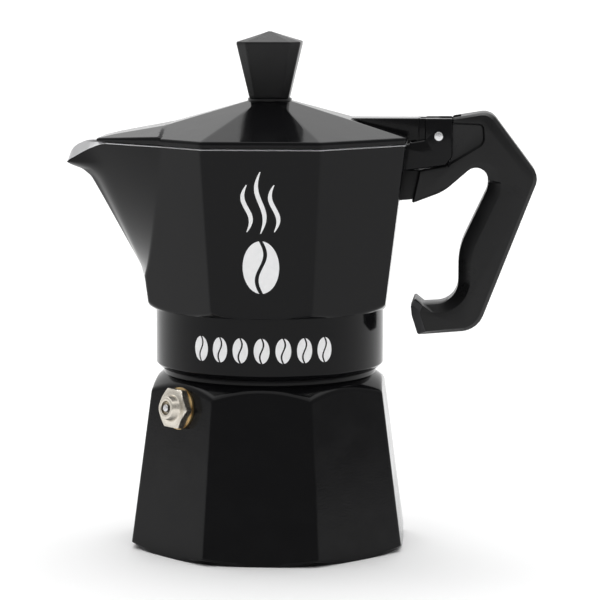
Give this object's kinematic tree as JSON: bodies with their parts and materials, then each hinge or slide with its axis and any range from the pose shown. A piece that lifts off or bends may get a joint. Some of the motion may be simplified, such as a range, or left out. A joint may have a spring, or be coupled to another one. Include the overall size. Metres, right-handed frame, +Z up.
{
  "type": "stovetop moka pot",
  "caption": "Eight-sided stovetop coffee maker with a screw-on upper pot, a V spout, a hinged lid, a flared knob and a hooked side handle.",
  "frame": {"origin": "on the pot's axis at the base plane it stands on", "axes": "+Z up along the pot's axis, +X towards the handle, -X towards the spout, +Y across the lid hinge"},
  "size_m": [0.1504, 0.0874, 0.1635],
  "materials": {
    "black_enamel": "gloss black stove enamel over cast aluminium, bare metal at the machined rims",
    "aluminium": "satin pressed and cast aluminium",
    "nickel_brass": "nickel-plated turned brass, slightly warm",
    "brass": "bare turned brass",
    "steel": "bright drawn steel",
    "white_rubber": "matt off-white silicone rubber",
    "black_nylon": "semi-gloss black moulded nylon"
  },
  "bodies": {
    "boiler": {"boiler": "black_enamel", "valve_washer": "brass", "valve_body": "nickel_brass", "valve_cap": "nickel_brass", "valve_spring": "steel"},
    "poppet": {"valve_poppet": "steel"},
    "funnel": {"funnel": "aluminium", "funnel_plate": "aluminium"},
    "seal": {"gasket": "white_rubber"},
    "upper_pot": {"filter_plate": "aluminium", "collector": "black_enamel", "column": "aluminium", "column_cap": "aluminium", "handle": "black_nylon", "hinge_pin": "steel"},
    "lid": {"lid": "black_enamel", "knob": "black_nylon", "knob_insert": "brass", "knob_screw": "steel", "knob_washer": "steel"}
  },
  "joints": [
    {"name": "valve_lift", "type": "slide", "parent": "boiler", "child": "poppet", "axis": [-0.7012, -0.7012, 0.1285], "range_m": [0, 0.0014], "stiffness_N_per_m": 400, "springref_m": -0.002, "deforming": ["valve_spring"]},
    {"name": "funnel_lift", "type": "slide", "parent": "boiler", "child": "funnel", "axis": [0, 0, 1], "range_m": [0, 0.075]},
    {"name": "collector_rise", "type": "slide", "parent": "funnel", "child": "seal", "axis": [0, 0, 1], "range_m": [0, 0.009]},
    {"name": "collector_screw", "type": "hinge", "parent": "seal", "child": "upper_pot", "pos_m": [0, 0, 0], "axis": [0, 0, 1], "range_deg": [0, 1080]},
    {"name": "lid_hinge", "type": "hinge", "parent": "upper_pot", "child": "lid", "pos_m": [0.0536, 0, 0.1309], "axis": [0, 1, 0], "range_deg": [0, 99]}
  ],
  "couplings": [
    {"joint": "collector_rise", "follows": "collector_screw", "m_per_rad": 0.00047746}
  ]
}
